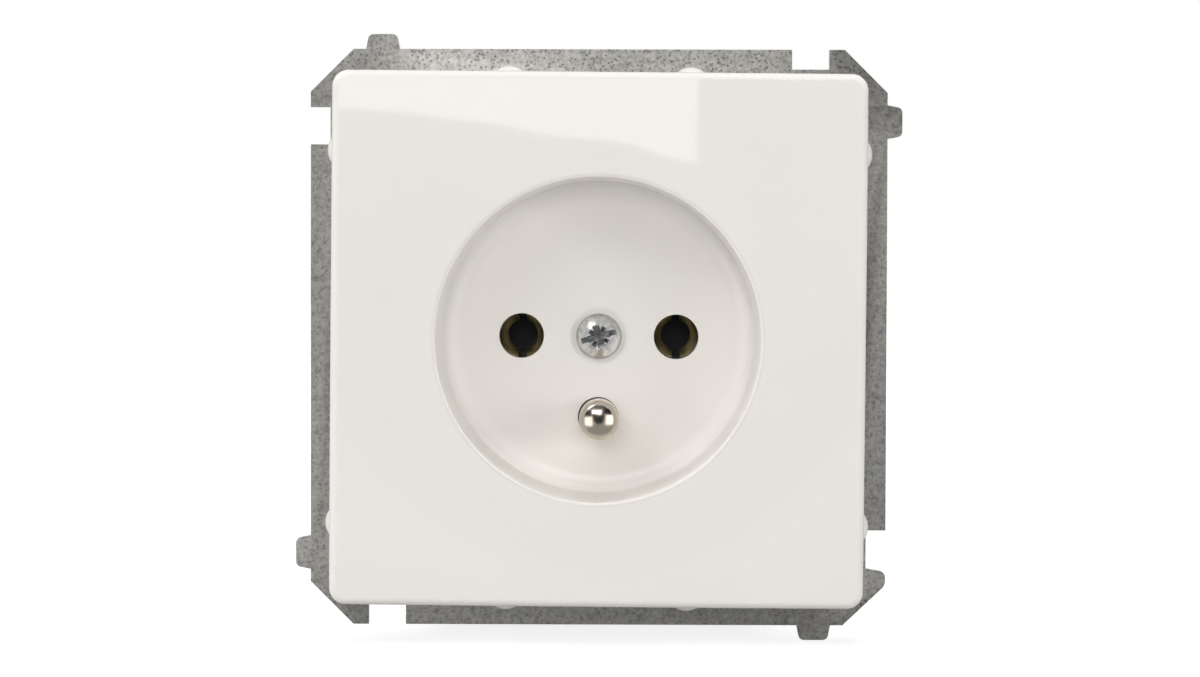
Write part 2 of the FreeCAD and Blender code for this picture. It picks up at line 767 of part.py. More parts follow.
def terminalClamp(name, x, z):
    # A square washer with two lips, which presses the wires onto the strip.
    body = newBody(name)
    half = "clampSize / 2"
    plate = sketchOn(body, "XZ_Plane", "clampRear")
    drawOutline(plate, rectangle(f"-{half}", f"-{half}", half, half))
    padToFront(body, plate, "clampSheet")
    for side in ("", "-"):
        lip = sketchOn(body, "XZ_Plane", "clampRear")
        drawOutline(lip, rectangle(f"{side}({half} - clampLip)", f"-{half}", f"{side}{half}", half))
        padToFront(body, lip, "clampSheet + clampLipHeight")
    cutCircles(body, "clampFront - 1", [("0", "0", "terminalThread / 2 + fitClearance")],
               "2 + clampSheet")
    body.setExpression("Placement.Base.x", bound(x))
    body.setExpression("Placement.Base.z", bound(z))
    return body


def terminalScrew(name, x, z):
    body = newBody(name)
    headRear = "(clampRear + terminalHeadHeight)"
    turn(body, "Revolution", [
        ("0", "terminalScrewEnd"),
        ("terminalThread / 2", "terminalScrewEnd"),
        ("terminalThread / 2", "clampRear"),
        ("terminalHead / 2", "clampRear"),
        ("terminalHead / 2", headRear),
        ("0", headRear),
    ])
    slot = sketchOn(body, "XZ_Plane", f"{headRear} - terminalSlotDepth")
    drawOutline(slot, rectangle("-terminalHead", "-terminalSlot / 2", "terminalHead", "terminalSlot / 2"))
    cutFromFront(body, slot, "2 * terminalSlotDepth")
    body.setExpression("Placement.Base.x", bound(x))
    body.setExpression("Placement.Base.z", bound(z))
    return body


def earthPin():
    # The pin has a round tip, a collar seated in the base and a riveted tail.
    body = newBody("earth_pin")
    turn(body, "Revolution", [
        ("0", "earthTip", "earthPin / 2"),
        ("earthPin / 2", "earthTip + earthPin / 2"),
        ("earthPin / 2", "dishFloor"),
        ("earthShank / 2", "dishFloor"),
        ("earthShank / 2", "collarFront"),
        ("earthCollar / 2", "collarFront"),
        ("earthCollar / 2", "troughFloor"),
        ("earthTail / 2", "troughFloor"),
        ("earthTail / 2", "stripRear"),
        ("earthTailHead / 2", "stripRear"),
        ("earthTailHead / 2", "stripRear + earthTailHeadHeight"),
        ("0", "stripRear + earthTailHeadHeight"),
    ])
    body.setExpression("Placement.Base.z", bound("-earthDrop"))
    return body


def earthBridge():
    # A bent strip from the pin's tail past the terminal and round the base to the strap.
    body = newBody("earth_bridge")
    sketch = sketchOn(body, "YZ_Plane", "-stripWidth / 2")
    top = "stripWidth / 2 - earthDrop"
    legInner = "(-baseRadius - bridgeGap)"
    legOuter = f"({legInner} - stripSheet)"
    tongueRear = "(strapRear + stripSheet)"
    drawOutline(sketch, [
        ("troughFloor", top),
        ("troughFloor", legInner),
        ("strapRear", legInner),
        ("strapRear", f"{legOuter} - bridgeTongue"),
        (tongueRear, f"{legOuter} - bridgeTongue"),
        (tongueRear, legOuter),
        ("stripRear", legOuter),
        ("stripRear", top),
    ])
    padToFront(body, sketch, "stripWidth")
    bends = [(number("stripRear"), number(legOuter)), (number("strapRear"), number(legInner))]

    def atBend(edge):
        middle = edge.CenterOfMass
        near = [math.hypot(middle.y - y, middle.z - z) < 0.01 for y, z in bends]
        return isLineAlong(edge, FreeCAD.Vector(1, 0, 0)) and any(near)

    roundEdges(body, "bridgeBend", atBend)
    cutCircles(body, "troughFloor - 1", [
        ("0", "-earthDrop", "earthTail / 2 + threadClearance"),
        ("0", "-earthTerminalDrop", "terminalThread / 2 + threadClearance"),
    ], "2 + stripSheet")
    return body


def strapRivets():
    body = newBody("strap_rivets")
    body.AllowCompound = True
    for x in ("rivetAcross", "-rivetAcross"):
        for z in ("rivetAcross", "-rivetAcross"):
            layers = [("strapFront", "rivetHead / 2", "rivetHeadHeight", False),
                      ("strapFront", "rivetShank / 2", "strapSheet + baseFlange", True),
                      ("flangeRear", "rivetTail / 2", "rivetHeadHeight", True)]
            for plane, radius, length, backward in layers:
                sketch = sketchOn(body, "XZ_Plane", plane)
                drawCircle(sketch, x, z, radius)
                extrude(body, "Pad", sketch, length, reverse=backward)
    return body


def allPieces():
    pieces = [coverPlate(), coverScrew(), coverNut(), mountingStrap(), contactGuard(),
              socketBase(), rearCap(), capScrews()]
    for side, x in livePlaces.items():
        pieces.append(contactSleeve(side))
        pieces.append(contactSpring(side))
        pieces.append(terminalClamp(f"terminal_clamp_{side}", x, "terminalRise"))
        pieces.append(terminalScrew(f"terminal_screw_{side}", x, "terminalRise"))
    pieces.append(earthPin())
    pieces.append(earthBridge())
    pieces.append(terminalClamp("earth_clamp", "0", "-earthTerminalDrop"))
    pieces.append(terminalScrew("earth_screw", "0", "-earthTerminalDrop"))
    pieces.append(strapRivets())
    return pieces


def check(pieces):
    for item in doc.Objects:
        if "Invalid" in item.State or "Error" in item.State:
            raise RuntimeError(f"{item.Label} failed to recompute")
    for piece in pieces:
        if piece.Shape.isNull() or not piece.Shape.isValid():
            raise RuntimeError(f"{piece.Label} has no valid shape")


pieces = allPieces()
doc.recompute()
check(pieces)
for piece in pieces:
    piece.Shape.exportStep(f"parts/{piece.Label}.step")
    box = piece.Shape.BoundBox
    print(f"{piece.Label}: {len(piece.Shape.Solids)} solids, {piece.Shape.Volume:.1f} mm3,"
          f" y {box.YMin:.2f} to {box.YMax:.2f}")
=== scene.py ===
# Flush wall socket insert: glossy square cover, round plug recess, earth pin, galvanised strap.
import json
import math
import bpy
import bmesh
from mathutils import Matrix, Vector


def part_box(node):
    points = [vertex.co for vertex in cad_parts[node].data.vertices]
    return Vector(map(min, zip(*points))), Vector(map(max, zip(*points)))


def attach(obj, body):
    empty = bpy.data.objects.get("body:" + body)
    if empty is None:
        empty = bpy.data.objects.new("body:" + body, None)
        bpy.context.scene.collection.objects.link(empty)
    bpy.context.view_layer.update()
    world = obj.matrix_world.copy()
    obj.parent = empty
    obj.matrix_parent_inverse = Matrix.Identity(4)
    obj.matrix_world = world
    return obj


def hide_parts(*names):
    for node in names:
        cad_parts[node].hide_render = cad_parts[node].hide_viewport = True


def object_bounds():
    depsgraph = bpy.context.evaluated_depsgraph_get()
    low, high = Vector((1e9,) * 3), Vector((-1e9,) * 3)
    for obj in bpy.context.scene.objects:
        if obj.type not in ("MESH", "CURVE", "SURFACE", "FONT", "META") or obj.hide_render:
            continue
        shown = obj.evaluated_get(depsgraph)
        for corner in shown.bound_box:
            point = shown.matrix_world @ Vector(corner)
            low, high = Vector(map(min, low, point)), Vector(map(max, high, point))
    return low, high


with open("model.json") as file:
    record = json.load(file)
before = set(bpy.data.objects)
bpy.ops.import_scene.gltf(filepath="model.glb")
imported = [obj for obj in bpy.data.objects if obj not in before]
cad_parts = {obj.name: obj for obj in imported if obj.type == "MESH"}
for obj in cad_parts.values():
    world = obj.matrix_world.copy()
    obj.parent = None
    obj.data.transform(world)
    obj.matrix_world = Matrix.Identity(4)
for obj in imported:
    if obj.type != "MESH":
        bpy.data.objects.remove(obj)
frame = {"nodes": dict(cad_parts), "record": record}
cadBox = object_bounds()
nodes = frame["nodes"]
print("frame loaded:", len(nodes), "nodes")


def addNode(tree, kind, inputs=None, **settings):
    # inputs: values or other nodes' outputs, by the name or number of the input they go to
    made = tree.nodes.new("ShaderNode" + kind)
    for key, value in settings.items():
        setattr(made, key, value)
    for key, value in (inputs or {}).items():
        if isinstance(value, bpy.types.NodeSocket):
            tree.links.new(value, made.inputs[key])
        else:
            made.inputs[key].default_value = value
    return made


def emptyTree(owner):
    # The cleared node tree of a material or of the world.
    owner.use_nodes = True
    owner.node_tree.nodes.clear()
    return owner.node_tree


def startMaterial(name):
    # An empty node tree with a principled shader and object coordinates.
    material = bpy.data.materials.new(name)
    tree = emptyTree(material)
    shader = addNode(tree, "BsdfPrincipled")
    addNode(tree, "OutputMaterial", {"Surface": shader.outputs[0]})
    place = addNode(tree, "TexCoord").outputs["Object"]
    return material, tree, shader, place


def noise(tree, place, scale, detail=2.0, rough=0.5, distortion=0.0):
    made = addNode(tree, "TexNoise", {"Vector": place, "Scale": scale, "Detail": detail,
                                      "Roughness": rough, "Distortion": distortion})
    return made.outputs[0]


def ramp(tree, value, stops):
    # stops: (place, colour) pairs
    made = addNode(tree, "ValToRGB", {0: value})
    band = made.color_ramp
    while len(band.elements) < len(stops):
        band.elements.new(0.5)
    for element, (place, colour) in zip(band.elements, stops):
        element.position = place
        element.color = (*colour, 1.0)
    return made.outputs[0]


def spread(tree, value, low, high, newLow=0.0, newHigh=1.0):
    made = addNode(tree, "MapRange", {0: value, 1: low, 2: high, 3: newLow, 4: newHigh})
    return made.outputs[0]


def fromNoise(tree, value, newLow, newHigh, low=0.3, high=0.7):
    # A noise mostly lies between 0.3 and 0.7.
    return spread(tree, value, low, high, newLow, newHigh)


def calculate(tree, operation, *values):
    return addNode(tree, "Math", dict(enumerate(values)), operation=operation).outputs[0]


def between(tree, value, rise, fall):
    # Rises from 0 to 1 over the first pair of places and falls back over the second.
    return calculate(tree, "MULTIPLY", spread(tree, value, *rise), spread(tree, value, *fall, 1.0, 0.0))


def squareSum(tree, first, second):
    return calculate(tree, "ADD", calculate(tree, "MULTIPLY", first, first),
                     calculate(tree, "MULTIPLY", second, second))


def rareCells(tree, place, scale, share, channel):
    # Distance from the middle of each cell, and 1 in the cells whose colour passes the share.
    cells = addNode(tree, "TexVoronoi", {"Vector": place, "Scale": scale})
    chance = addNode(tree, "SeparateColor", {0: cells.outputs["Color"]}).outputs[channel]
    return cells.outputs["Distance"], calculate(tree, "GREATER_THAN", chance, share)


def mixColour(tree, share, *colours):
    inputs = {0: share}
    for key, colour in zip((6, 7), colours):
        inputs[key] = colour if isinstance(colour, bpy.types.NodeSocket) else (*colour, 1.0)
    return addNode(tree, "Mix", inputs, data_type="RGBA").outputs[2]


def scaleColour(tree, colour, scale):
    return addNode(tree, "VectorMath", {0: colour, "Scale": scale}, operation="SCALE").outputs[0]


def paint(tree, shader, colour, rough):
    tree.links.new(colour, shader.inputs["Base Color"])
    tree.links.new(rough, shader.inputs["Roughness"])


def addBump(tree, shader, height, distance, strength=1.0, under=None):
    made = addNode(tree, "Bump", {"Height": height, "Distance": distance, "Strength": strength})
    if under is not None:
        tree.links.new(under, made.inputs["Normal"])
    tree.links.new(made.outputs[0], shader.inputs["Normal"])
    return made.outputs[0]


def makeObject(shape, name):
    # Turns a bmesh into an object of the scene.
    mesh = bpy.data.meshes.new(name)
    shape.to_mesh(mesh)
    shape.free()
    made = bpy.data.objects.new(name, mesh)
    bpy.context.scene.collection.objects.link(made)
    return made


cameraSetup = {
    "place": (0.00356, -0.465, 0.01568),   # metres from the middle of the strap
    "turn": 0.417,             # degrees towards the left
    "tilt": -1.948,            # degrees above level
    "lean": 0.153,             # degrees about the line of sight
    "lens": 114.57,
    "sensor": 36.0,
    "clip": (0.01, 20.0),
}


def placeCamera(setup):
    data = bpy.data.cameras.new("camera")
    data.lens = setup["lens"]
    data.sensor_width = setup["sensor"]
    data.clip_start, data.clip_end = setup["clip"]
    camera = bpy.data.objects.new("camera", data)
    bpy.context.scene.collection.objects.link(camera)
    turn = Matrix.Rotation(math.radians(setup["turn"]), 4, "Z")
    tilt = Matrix.Rotation(math.radians(90 + setup["tilt"]), 4, "X")
    lean = Matrix.Rotation(math.radians(setup["lean"]), 4, "Z")
    camera.matrix_world = Matrix.Translation(setup["place"]) @ turn @ tilt @ lean
    bpy.context.scene.camera = camera


placeCamera(cameraSetup)
print("camera placed")


studio = {
    "background": (1.0, 1.0, 1.0),         # what the camera sees beyond the floor
    "ambient": 0.085,                      # what the room gives matt surfaces
    "ambientTint": (1.0, 0.982, 0.958),
    "mirrorGrey": (0.54, 0.535, 0.525),    # what bright metal sees of the room
    "boxSide": 0.40,                       # of each softbox, metres
    "floorRadius": 1.6,
    "floorSides": 96,
    "floorColour": 0.46,
    "floorGlow": (0.80, 1.0),              # near the object and far off; only the camera sees this
    "glowReach": (0.06, 0.30),
}
# name: place in metres, radiance, seen in mirrors
softboxes = {
    "frontBox": ((0.0, -1.297, 0.091), 10.9, False),
    "keyBox": ((-0.466, -0.999, 0.689), 3.05, True),
    "upperBox": ((0.0, -1.102, 0.689), 1.85, False),
    "sideBox": ((-0.845, -0.709, 0.689), 3.75, False),
    "leftBox": ((-0.917, -0.917, 0.091), 2.4, False),
    "rightBox": ((0.917, -0.917, 0.091), 6.2, False),
    "topLeftBox": ((-0.255, -0.701, 1.065), 1.6, False),
    "topRightBox": ((0.255, -0.701, 1.065), 1.1, False),
    "skyBox": ((0.0, -0.05, 1.30), 16.5, False),
    "farLeftBox": ((-1.30, -0.05, 0.10), 13.5, False),
    "farRightBox": ((1.30, -0.05, 0.10), 8.7, False),
}
# The overhead panel that the glossy face mirrors: its lower edge hangs in slow waves.
panel = {
    "depth": -0.400,
    "radiance": 2.8,
    "outline": ((-0.1000, 0.0600), (-0.0847, 0.0589), (-0.0657, 0.0576),
                (-0.0483, 0.0554), (-0.0359, 0.0535), (-0.0222, 0.0501), (-0.0111, 0.0492),
                (0.0038, 0.0479), (0.0162, 0.0445), (0.0267, 0.0423), (0.0276, 0.0423),
                (0.0288, 0.1050), (-0.1000, 0.1050)),
}
# Cloths and gaps of the tent that only mirrors see.
# name: place, width and height in metres, brightness, share of the corners rounded
boards = {
    "cameraOpening": ((-0.0033, -0.430, 0.0076), (0.196, 0.196), 0.03, 1.0),
    "leftCloth": ((-0.152, -0.400, -0.052), (0.120, 0.125), 1.7, 0.2),
    "rightCloth": ((0.150, -0.400, -0.030), (0.122, 0.135), 1.7, 0.2),
    "gapLeft": ((-0.168, -0.402, 0.062), (0.135, 0.095), 0.03, 0.4),
    "gapTop": ((-0.010, -0.402, 0.158), (0.230, 0.090), 0.10, 0.4),
    "gapRight": ((0.120, -0.402, 0.100), (0.130, 0.100), 0.02, 0.6),
    "gapBottom": ((0.0, -0.434, -0.200), (0.520, 0.220), 0.34, 0.5),
}


def lightRoom(setup):
    world = bpy.data.worlds.new("room")
    bpy.context.scene.world = world
    tree = emptyTree(world)
    path = addNode(tree, "LightPath")
    seen = calculate(tree, "MAXIMUM", path.outputs["Is Glossy Ray"], path.outputs["Is Transmission Ray"])
    dim = [setup["ambient"] * part for part in setup["ambientTint"]]
    colour = mixColour(tree, seen, dim, setup["mirrorGrey"])
    colour = mixColour(tree, path.outputs["Is Camera Ray"], colour, setup["background"])
    light = addNode(tree, "Background", {"Color": colour, "Strength": 1.0})
    addNode(tree, "OutputWorld", {"Surface": light.outputs[0]})


def hangSoftbox(name, side, place, radiance, mirrored):
    # A square lamp that faces the object.
    data = bpy.data.lights.new(name, "AREA")
    data.shape = "SQUARE"
    data.size = side
    data.energy = radiance * math.pi * side * side
    lamp = bpy.data.objects.new(name, data)
    lamp.visible_camera = False
    lamp.visible_glossy = mirrored
    bpy.context.scene.collection.objects.link(lamp)
    facing = (-Vector(place)).to_track_quat("-Z", "Y").to_matrix().to_4x4()
    lamp.matrix_world = Matrix.Translation(place) @ facing


def roundedCorners(place, size, rounded, steps=16):
    corners = []
    width, height = size
    corner = rounded * min(size) / 2
    for middleX, middleZ, first in ((1, 1, 0), (-1, 1, 90), (-1, -1, 180), (1, -1, 270)):
        for step in range(steps + 1):
            angle = math.radians(first + 90 * step / steps)
            x = middleX * (width / 2 - corner) + corner * math.cos(angle)
            z = middleZ * (height / 2 - corner) + corner * math.sin(angle)
            corners.append((place[0] + x, place[2] + z))
    return corners


def hangBoard(name, corners, depth, brightness):
    # A glowing or dark sheet that only mirrors see.
    material = bpy.data.materials.new(name)
    tree = emptyTree(material)
    glow = addNode(tree, "Emission", {"Color": (1, 1, 1, 1), "Strength": brightness})
    addNode(tree, "OutputMaterial", {"Surface": glow.outputs[0]})
    shape = bmesh.new()
    shape.faces.new([shape.verts.new((x, depth, z)) for x, z in corners])
    bmesh.ops.remove_doubles(shape, verts=shape.verts, dist=0.00001)
    board = makeObject(shape, name)
    board.data.materials.append(material)
    board.visible_camera = False
    board.visible_diffuse = False
    board.visible_shadow = False
    board.visible_transmission = False


def layFloor(setup, height):
    bpy.ops.mesh.primitive_circle_add(vertices=setup["floorSides"], radius=setup["floorRadius"],
                                      fill_type="NGON", location=(0.0, 0.0, height))
    floor = bpy.context.object
    floor.name = "floor"
    material = bpy.data.materials.new("paperFloor")
    tree = emptyTree(material)
    seen = addNode(tree, "LightPath").outputs["Is Camera Ray"]
    place = addNode(tree, "TexCoord").outputs["Object"]
    away = addNode(tree, "VectorMath", {0: place}, operation="LENGTH").outputs["Value"]
    rising = spread(tree, away, *setup["glowReach"], *setup["floorGlow"])
    glow = addNode(tree, "Emission", {"Color": (1, 1, 1, 1),
                                      "Strength": calculate(tree, "MULTIPLY", seen, rising)})
    grey = setup["floorColour"]
    paper = addNode(tree, "BsdfDiffuse", {"Color": (grey, grey, grey, 1)})
    both = addNode(tree, "AddShader", {0: glow.outputs[0], 1: paper.outputs[0]})
    addNode(tree, "OutputMaterial", {"Surface": both.outputs[0]})
    floor.data.materials.append(material)
    floor.visible_glossy = False


lightRoom(studio)
for boxName, boxSetup in softboxes.items():
    hangSoftbox(boxName, studio["boxSide"], *boxSetup)
for boardName, (boardPlace, boardSize, brightness, rounded) in boards.items():
    hangBoard(boardName, roundedCorners(boardPlace, boardSize, rounded), boardPlace[1], brightness)
hangBoard("overheadPanel", panel["outline"], panel["depth"], panel["radiance"])
layFloor(studio, cadBox[0][2])
bpy.context.scene.view_settings.view_transform = "Standard"
print("studio lit")


# Scales of patterns are per metre. Pairs of radii, heights or depths say where a tone sets in or ends.
coverLook = {
    "colour": (0.872, 0.846, 0.812),
    "ior": 1.49,
    "faceRoughness": 0.03,
    "recessRoughness": 0.10,
    "recessEdge": (0.0191, 0.0197),    # radii between which the one turns into the other
    "wallInside": (0.0166, 0.0190),    # the recess wall is painted a little paler, painted light, and is less glossy
    "wallOutside": (0.0195, 0.0197),
    "wallPaintedLight": 1.08,
    "wallRoughness": 0.34,
    "rimInside": (0.0195, 0.0197),     # its rim is painted a little darker, painted shade
    "rimOutside": (0.0198, 0.0200),
    "rimPaintedShade": 0.08,
    "cloudScale": 28.0,                # faint clouds in the colour
    "cloudRange": (0.985, 1.015),
    "mattScale": 90.0,                 # and in the gloss
    "mattRange": (0.9, 1.1),
    "waveScale": 55.0,                 # slow waves of the moulded face
    "waveHeight": 0.00004,
    "grainScale": 1400.0,
    "grainHeight": 0.0000006,
    "speckScale": 150.0,               # dust
    "speckSize": 0.03,
    "speckShare": 0.93,                # share of cells without a speck
    "speckStrength": 0.6,
    "speckColour": (0.30, 0.26, 0.22),
}


def coverPlastic(look):
    material, tree, shader, place = startMaterial("coverPlastic")
    shader.inputs["IOR"].default_value = look["ior"]
    parts = addNode(tree, "SeparateXYZ", {0: place})
    radius = calculate(tree, "SQRT", squareSum(tree, parts.outputs[0], parts.outputs[2]))
    # Painted light makes the recess wall paler; painted shade darkens its rim.
    wall = between(tree, radius, look["wallInside"], look["wallOutside"])
    paintedDarkRim = between(tree, radius, look["rimInside"], look["rimOutside"])
    paintedWallAndRim = spread(tree, wall, 0.0, 1.0, 1.0, look["wallPaintedLight"])
    paintedWallAndRim = calculate(tree, "SUBTRACT", paintedWallAndRim, calculate(tree, "MULTIPLY", paintedDarkRim, look["rimPaintedShade"]))
    cloud = fromNoise(tree, noise(tree, place, look["cloudScale"], detail=3.0), *look["cloudRange"])
    tone = scaleColour(tree, look["colour"], calculate(tree, "MULTIPLY", cloud, paintedWallAndRim))
    distance, rare = rareCells(tree, place, look["speckScale"], look["speckShare"], 0)
    speck = calculate(tree, "MULTIPLY", calculate(tree, "LESS_THAN", distance, look["speckSize"]), rare)
    speck = calculate(tree, "MULTIPLY", speck, look["speckStrength"])
    rough = spread(tree, radius, *look["recessEdge"], look["recessRoughness"], look["faceRoughness"])
    rough = calculate(tree, "MAXIMUM", rough, calculate(tree, "MULTIPLY", wall, look["wallRoughness"]))
    matt = fromNoise(tree, noise(tree, place, look["mattScale"], detail=4.0), *look["mattRange"],
                     low=0.35, high=0.65)
    paint(tree, shader, mixColour(tree, speck, tone, look["speckColour"]),
          calculate(tree, "MULTIPLY", rough, matt))
    waves = noise(tree, place, look["waveScale"], detail=1.0, rough=0.4)
    slow = addBump(tree, shader, waves, look["waveHeight"])
    addBump(tree, shader, noise(tree, place, look["grainScale"]), look["grainHeight"], under=slow)
    return material


sheetLook = {
    "tones": ((0.37, (0.24, 0.235, 0.222)), (0.49, (0.39, 0.382, 0.36)), (0.62, (0.49, 0.48, 0.455))),
    "edge": (0.80, 0.79, 0.76),        # bare metal of the cut edges
    "edgeFacing": (0.97, 0.70),        # from a surface that faces the front to one that is an edge
    "edgeGrain": (0.35, 0.60),
    "edgeWear": (0.55, 1.0),
    "edgeRoughness": 0.30,
    "metal": 0.85,
    "roughness": 0.34,
    "grainScale": 2200.0,
    "grainShare": 0.65,
    "grainHeight": 0.00003,
    "patchScale": 900.0,
    "patchShare": 0.35,
    "dotScale": 2500.0,
    "dotSize": (0.50, 0.12),
    "dotShare": 0.72,                  # share of cells without a dark dot
    "dotStrength": 0.7,
    "dotColour": (0.05, 0.05, 0.048),
    "topHeights": (0.029, 0.032),      # painted light along the middle of the top
    "topWidths": (0.021, 0.028),
    "topPaintedLight": 0.82,
    "bottomHeights": (-0.034, -0.029),
    "bottomPaintedShade": -0.03,
    "sides": (-0.032, 0.032),          # from left to right
    "sidePaintedShade": (-0.05, -0.20),
}


def galvanisedSheet(look):
    material, tree, shader, place = startMaterial("galvanisedSheet")
    shader.inputs["Metallic"].default_value = look["metal"]
    patches = noise(tree, place, look["patchScale"], detail=4.0, rough=0.6)
    grain = noise(tree, place, look["grainScale"], detail=3.0, rough=0.7, distortion=0.4)
    both = calculate(tree, "ADD", calculate(tree, "MULTIPLY", patches, look["patchShare"]),
                     calculate(tree, "MULTIPLY", grain, look["grainShare"]))
    tone = ramp(tree, both, look["tones"])
    distance, rare = rareCells(tree, place, look["dotScale"], look["dotShare"], 1)
    dark = calculate(tree, "MULTIPLY", spread(tree, distance, *look["dotSize"]), rare)
    dark = calculate(tree, "MULTIPLY", dark, look["dotStrength"])
    tone = mixColour(tree, dark, tone, look["dotColour"])
    # Painted light along the top, painted shade below and on the right.
    parts = addNode(tree, "SeparateXYZ", {0: place})
    across, high = parts.outputs[0], parts.outputs[2]
    narrow = spread(tree, calculate(tree, "ABSOLUTE", across), *look["topWidths"], 1.0, 0.0)
    top = calculate(tree, "MULTIPLY", spread(tree, high, *look["topHeights"]), narrow)
    paintedLightAndShade = calculate(tree, "ADD", calculate(tree, "MULTIPLY", top, look["topPaintedLight"]),
                       spread(tree, high, *look["bottomHeights"], look["bottomPaintedShade"], 0.0))
    paintedLightAndShade = calculate(tree, "ADD", paintedLightAndShade, spread(tree, across, *look["sides"], *look["sidePaintedShade"]))
    tone = scaleColour(tree, tone, calculate(tree, "ADD", paintedLightAndShade, 1.0))
    # Cut edges: where the surface doesn't face the front or the rear.
    facing = addNode(tree, "SeparateXYZ", {0: addNode(tree, "NewGeometry").outputs["Normal"]})
    cut = spread(tree, calculate(tree, "ABSOLUTE", facing.outputs[1]), *look["edgeFacing"])
    cut = calculate(tree, "MULTIPLY", cut, spread(tree, grain, *look["edgeGrain"], *look["edgeWear"]))
    paint(tree, shader, mixColour(tree, cut, tone, look["edge"]),
          spread(tree, cut, 0.0, 1.0, look["roughness"], look["edgeRoughness"]))
    addBump(tree, shader, grain, look["grainHeight"], strength=0.5)
    return material


screwLook = {
    "tones": ((0.35, (0.58, 0.59, 0.60)), (0.6, (0.88, 0.885, 0.88))),
    "roughness": (0.28, 0.16),         # in the dark and in the pale patches
    "mottleScale": 1500.0,
    "grainScale": 2600.0,
    "grainHeight": 0.000012,
    "domeRadius": 0.0048,              # of the cover screw's head
    # the drive recess is painted darker, painted shade, less on its floor
    "recessShadeColour": (0.25, 0.27, 0.255),
    "recessRadius": 0.0024,
    "recessDepth": 0.0016,
    "recessShadeDepths": (0.00010, 0.00045),
    "floorColour": (0.62, 0.63, 0.61),
    "floorDepths": (0.00105, 0.00122),
    # the edge of the head is painted dark, a painted dark reflection
    "rimPaintedColour": (0.30, 0.31, 0.30),
    "rimRadii": (0.00250, 0.00275),
    "rimEnd": 0.0030,
    "rimPaintedStrength": 0.75,
}


def zincScrew(look):
    material, tree, shader, place = startMaterial("zincScrew")
    shader.inputs["Metallic"].default_value = 1.0
    mottle = noise(tree, place, look["mottleScale"], detail=3.0)
    tone = ramp(tree, mottle, look["tones"])
    # The drive recess of the cover screw is painted dark, painted shade, less of it on its floor, which
    # faces the front.
    parts = addNode(tree, "SeparateXYZ", {0: place})
    squares = squareSum(tree, parts.outputs[0], parts.outputs[2])
    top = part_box("cover_screw")[0].y
    surface = calculate(tree, "MULTIPLY", squares, 0.5 / look["domeRadius"])
    depth = calculate(tree, "SUBTRACT", calculate(tree, "SUBTRACT", parts.outputs[1], top), surface)
    inside = calculate(tree, "LESS_THAN", squares, look["recessRadius"] ** 2)
    inside = calculate(tree, "MULTIPLY", inside, calculate(tree, "LESS_THAN", depth, look["recessDepth"]))
    paintedShade = calculate(tree, "MULTIPLY", inside, spread(tree, depth, *look["recessShadeDepths"]))
    low = calculate(tree, "MULTIPLY", inside, spread(tree, depth, *look["floorDepths"]))
    tone = mixColour(tree, paintedShade, tone, look["recessShadeColour"])
    tone = mixColour(tree, low, tone, look["floorColour"])
    # The edge of its head is painted dark too, a painted dark reflection.
    paintedDarkRim = spread(tree, calculate(tree, "SQRT", squares), *look["rimRadii"], 0.0, look["rimPaintedStrength"])
    paintedDarkRim = calculate(tree, "MULTIPLY", paintedDarkRim, calculate(tree, "LESS_THAN", squares, look["rimEnd"] ** 2))
    tone = mixColour(tree, paintedDarkRim, tone, look["rimPaintedColour"])
    paint(tree, shader, tone, fromNoise(tree, mottle, *look["roughness"]))
    addBump(tree, shader, noise(tree, place, look["grainScale"]), look["grainHeight"], strength=0.6)
    return material


baseLook = {
    "tones": ((0.35, (0.030, 0.030, 0.031)), (0.7, (0.051, 0.051, 0.0527))),
    "roughness": (0.45, 0.59),
    "flowScale": 60.0,
    "grainScale": 3200.0,
    "grainHeight": 0.00002,
}


def basePlastic(look):
    material, tree, shader, place = startMaterial("basePlastic")
    flow = noise(tree, place, look["flowScale"], detail=3.0, distortion=0.6)
    paint(tree, shader, ramp(tree, flow, look["tones"]), fromNoise(tree, flow, *look["roughness"]))
    grain = noise(tree, place, look["grainScale"], detail=3.0)
    addBump(tree, shader, grain, look["grainHeight"], strength=0.5)
    return material


brassLook = {
    "tones": ((0.38, (0.42, 0.34, 0.16)), (0.56, (0.78, 0.66, 0.34))),
    "stainScale": 320.0,
    "roughness": (0.28, 0.46),
    "metal": 0.45,
    "streakScale": 2200.0,
    "streakStretch": (1.0, 0.12, 1.0),     # the streaks run from front to rear
    "streakHeight": 0.000008,
    "holePlace": 0.0095,       # of each mouth's middle, from the middle of the cover
    "bandWide": 0.00195,       # half axes of the bands inside a mouth that the painted shade leaves out
    "bandHigh": 0.0032,
    "bandEdge": (0.08, 0.40),  # from bare brass to painted shade, as shares of the half axes
    "mouthLength": 0.0030,
    "mouthShadeColour": (0.035, 0.034, 0.018),
}


